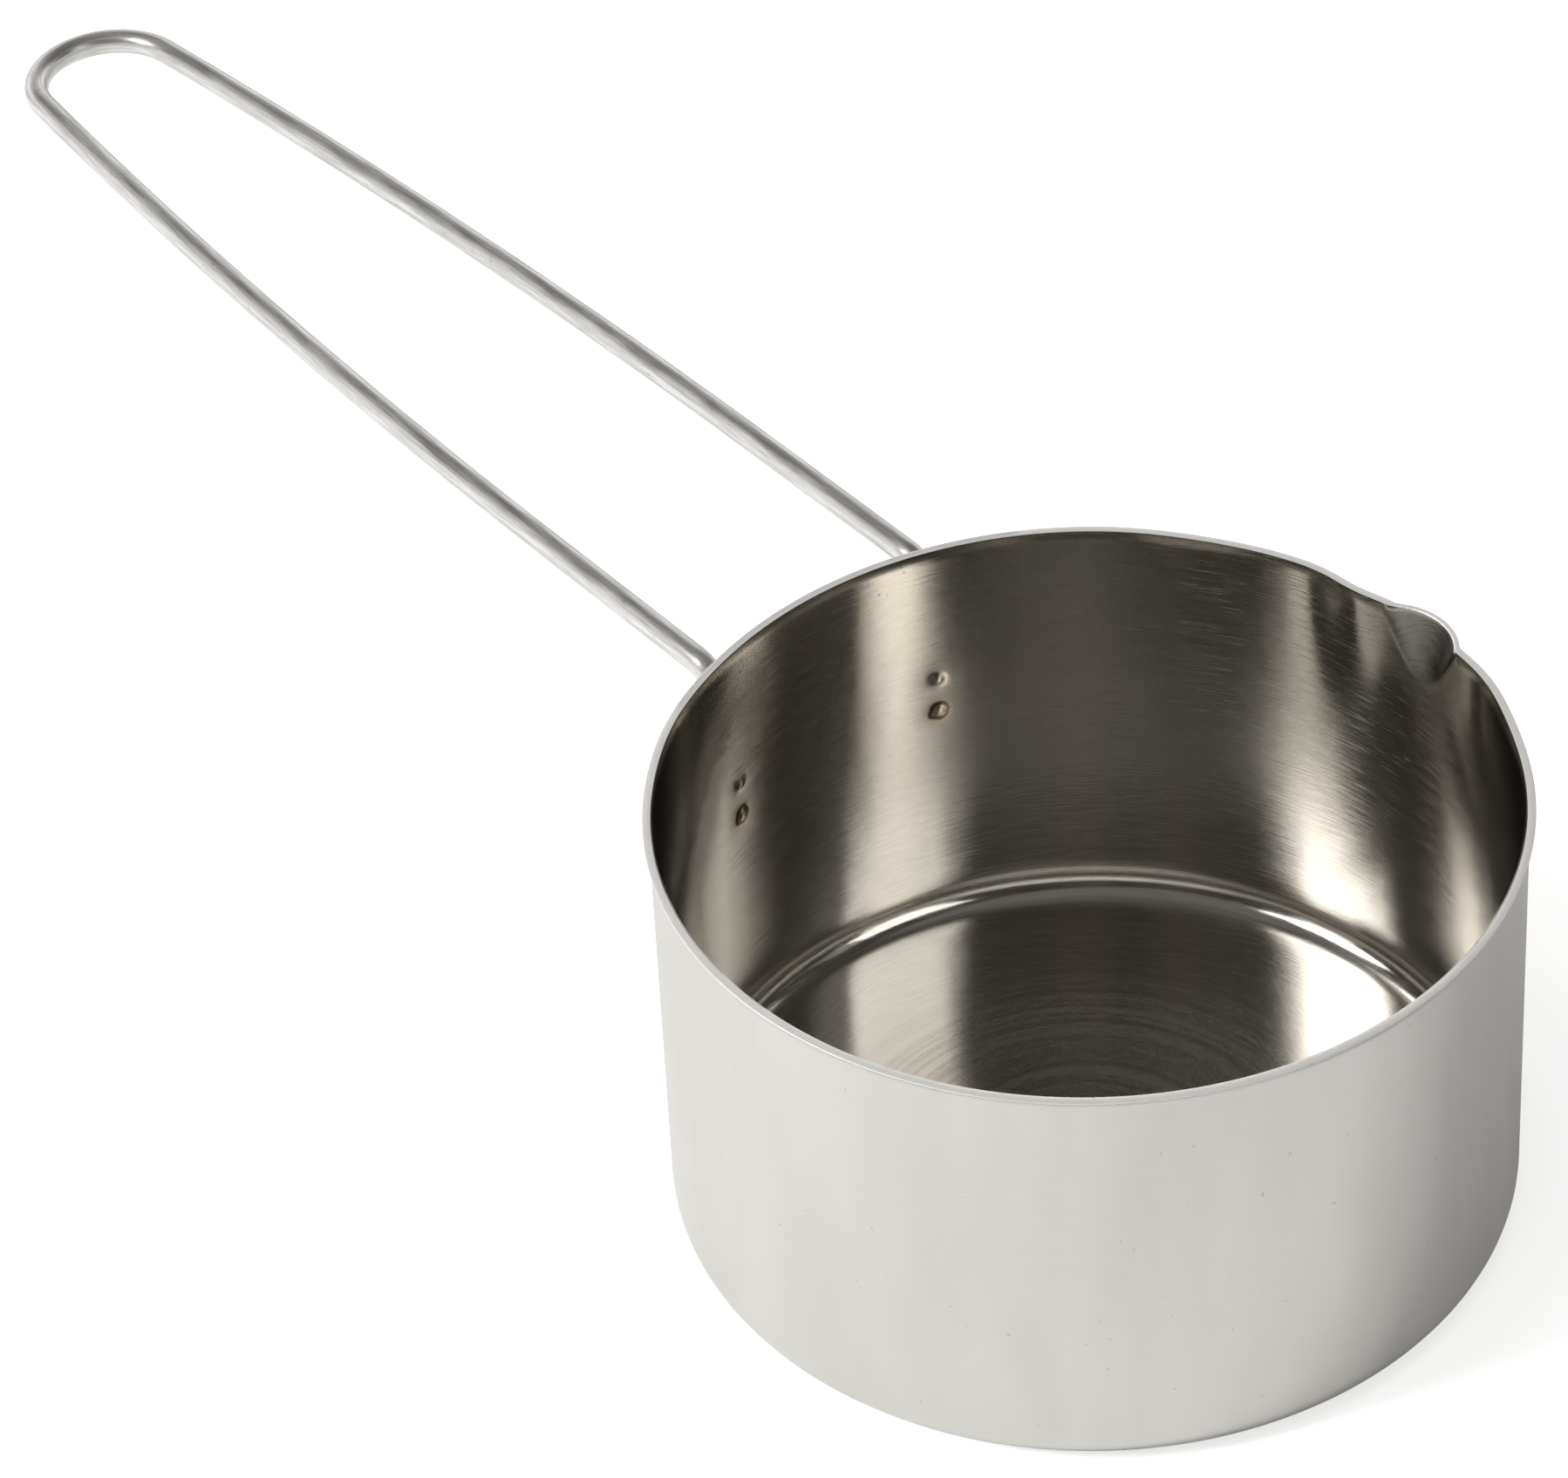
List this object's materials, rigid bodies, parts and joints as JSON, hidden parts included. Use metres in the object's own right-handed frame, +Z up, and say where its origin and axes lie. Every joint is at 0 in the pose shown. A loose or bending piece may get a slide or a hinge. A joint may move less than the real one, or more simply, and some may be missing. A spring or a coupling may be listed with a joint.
{
  "type": "candle melting pot",
  "caption": "Small stainless steel melting pot with a pinched pour lip on its rim and a long bent-wire handle spot-welded to its wall.",
  "frame": {"origin": "centre of the flat base, on the surface that the pot stands on", "axes": "+Z up along the pot's axis, +X along the handle away from the pot, -Y towards the pour lip"},
  "size_m": [0.288, 0.1119, 0.061],
  "materials": {
    "pot_steel": "satin outside, brushed round the wall inside",
    "wire_steel": "bright drawn wire",
    "weld_metal": "fused, heat tinted"
  },
  "bodies": {
    "root": {"pot_body": "pot_steel", "wire_handle": "wire_steel", "weld_left_upper": "weld_metal", "weld_left_lower": "weld_metal", "weld_right_upper": "weld_metal", "weld_right_lower": "weld_metal"}
  },
  "joints": []
}
